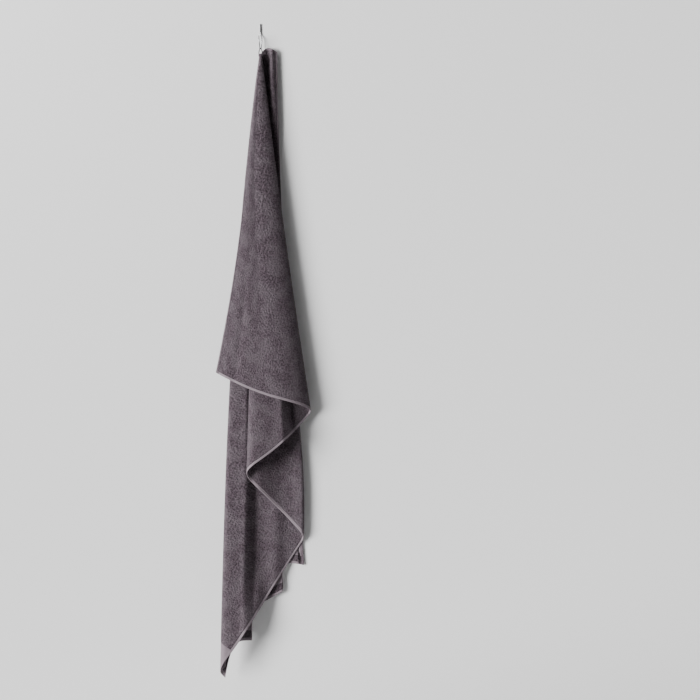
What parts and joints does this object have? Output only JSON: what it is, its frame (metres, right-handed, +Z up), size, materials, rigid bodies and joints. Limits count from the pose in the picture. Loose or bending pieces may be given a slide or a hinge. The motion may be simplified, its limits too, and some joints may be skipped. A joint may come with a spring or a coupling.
{
  "type": "bath sheet hanging on a wall hook",
  "caption": "Terry bath sheet with narrow sewn hems, hanging in soft folds by the loop near its corner from a plain bent-wire wall hook.",
  "frame": {"origin": "middle of the hook's flat shank, on the wall", "axes": "+Z up, +Y into the wall, +X to the right as seen from the room"},
  "size_m": [0.2764, 0.106, 1.9056],
  "materials": {
    "wire": "satin",
    "tape": "woven tape",
    "terry": "looped pile with smooth hems"
  },
  "bodies": {
    "root": {"wall_hook": "wire", "hanging_loop": "tape", "bath_sheet": "terry"}
  },
  "joints": []
}
